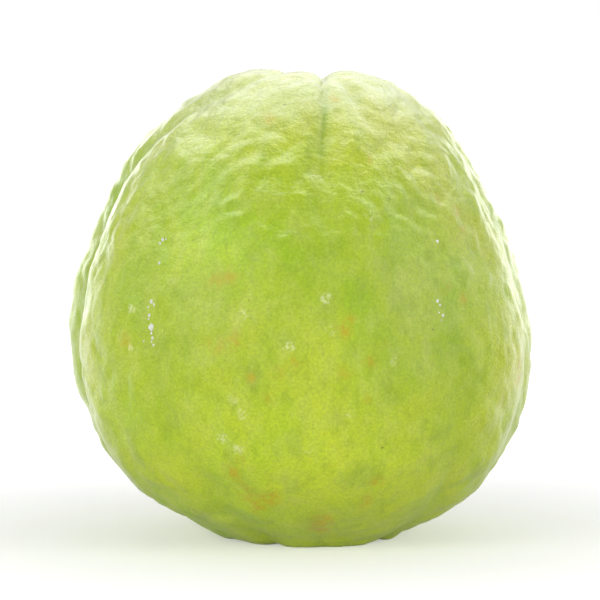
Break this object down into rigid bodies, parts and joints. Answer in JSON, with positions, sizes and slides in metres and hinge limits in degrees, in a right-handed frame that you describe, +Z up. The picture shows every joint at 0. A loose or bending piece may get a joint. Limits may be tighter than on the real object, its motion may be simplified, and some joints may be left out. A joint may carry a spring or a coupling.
{
  "type": "whole guava fruit",
  "caption": "Whole round green guava with shallow lobes, narrower at the stem end, standing upright on its blossom end, with a cut stalk above and a dried calyx below.",
  "frame": {"origin": "middle of the fruit's box, on the surface that it stands on", "axes": "+Z up along the fruit from blossom end to stem end, -Y towards the front, +X to the right seen from the front"},
  "size_m": [0.0926, 0.091, 0.0934],
  "materials": {
    "skin": "satin"
  },
  "bodies": {
    "root": {"guava": "skin"}
  },
  "joints": []
}
